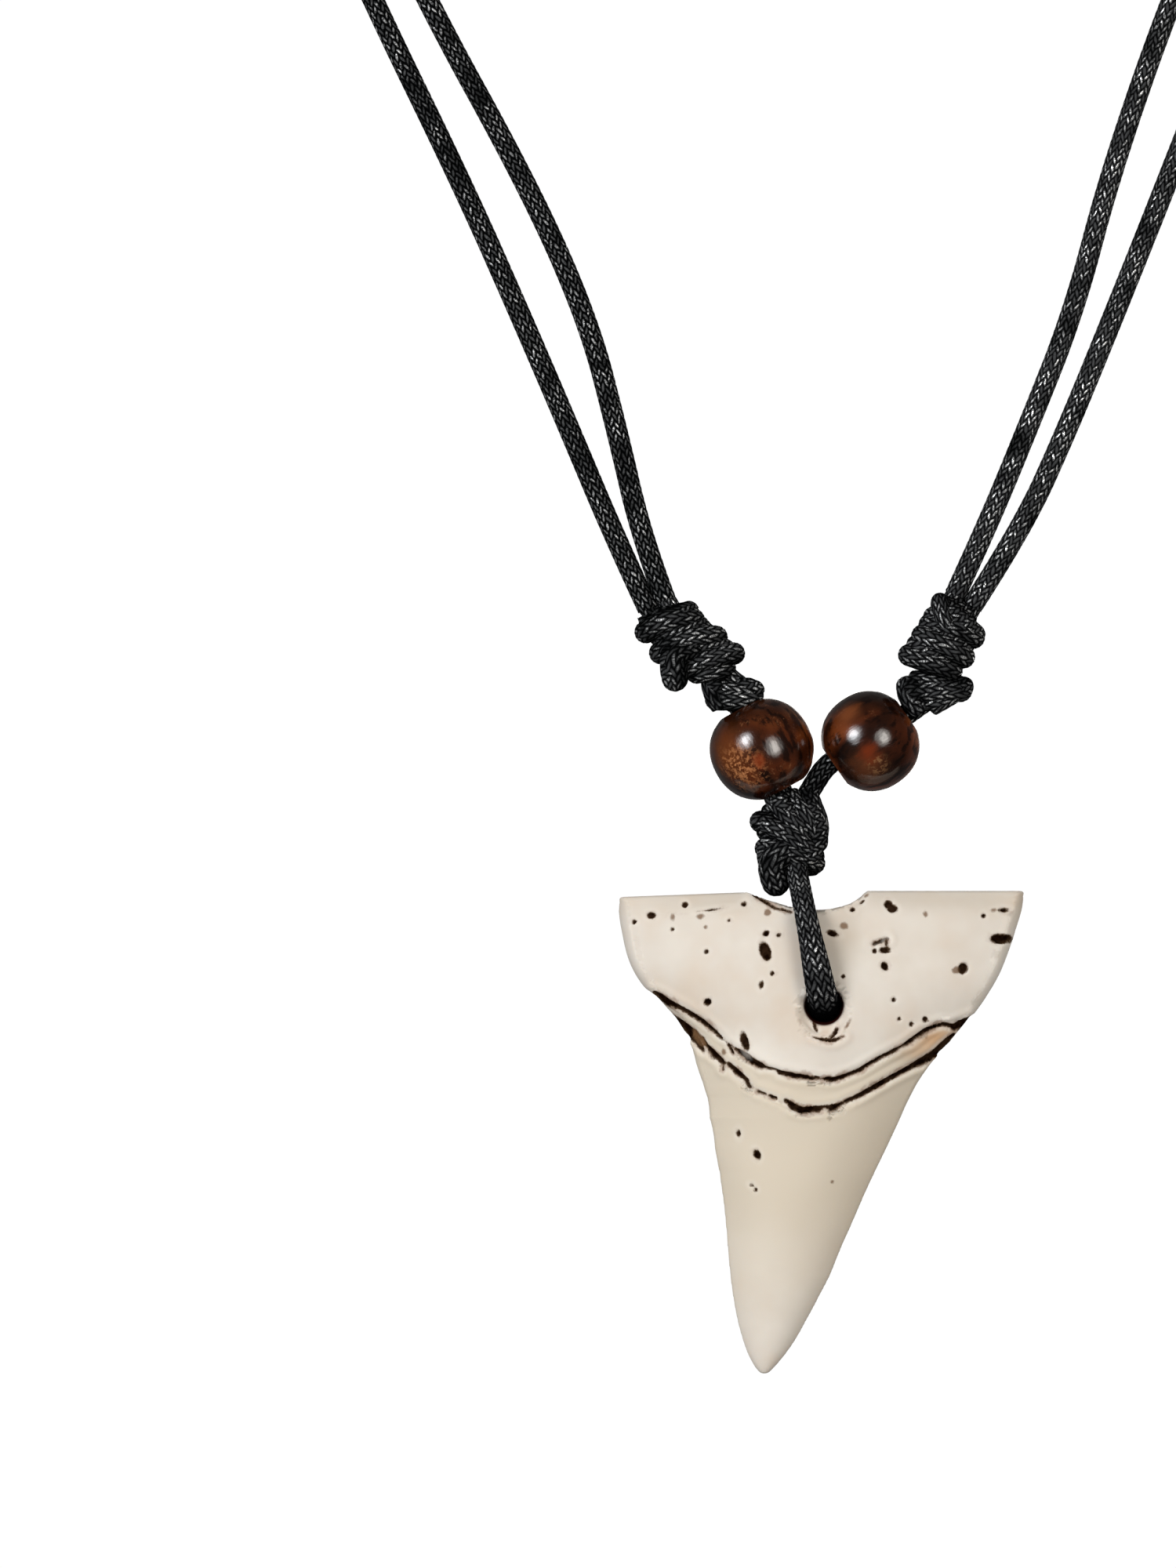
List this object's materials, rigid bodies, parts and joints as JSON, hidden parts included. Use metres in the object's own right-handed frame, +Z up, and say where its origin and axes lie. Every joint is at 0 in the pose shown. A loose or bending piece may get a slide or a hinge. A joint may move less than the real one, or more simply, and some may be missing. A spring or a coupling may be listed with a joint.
{
  "type": "shark tooth necklace",
  "caption": "Pendant tooth with a dark-lined root hung on a black waxed cord necklace with wooden beads and slide knots; the tooth swings on its cord loop.",
  "frame": {"origin": "the nape: the underside of the neck loop's top, midway along it, where it rests on a neck", "axes": "+Z up along the hanging necklace; the front of the tooth faces -Y; +X is to the right seen from the front"},
  "size_m": [0.111, 0.0132, 0.2222],
  "materials": {
    "tooth": "satin",
    "cord": "waxed braid",
    "bead": "lacquered"
  },
  "bodies": {
    "necklace": {"pendant_loop": "cord", "centre_knot": "cord", "left_bead": "bead", "right_bead": "bead", "left_bead_cord": "cord", "right_bead_cord": "cord", "left_stopper_knot": "cord", "right_stopper_knot": "cord", "left_slide_knot": "cord", "right_slide_knot": "cord", "neck_cord_outer": "cord", "neck_cord_inner": "cord"},
    "tooth": {"tooth": "tooth"}
  },
  "joints": [
    {"name": "tooth_swing", "type": "hinge", "parent": "necklace", "child": "tooth", "pos_m": [0.00107, 0, -0.18618], "axis": [0, 1, 0], "range_deg": [-24, 3]}
  ]
}
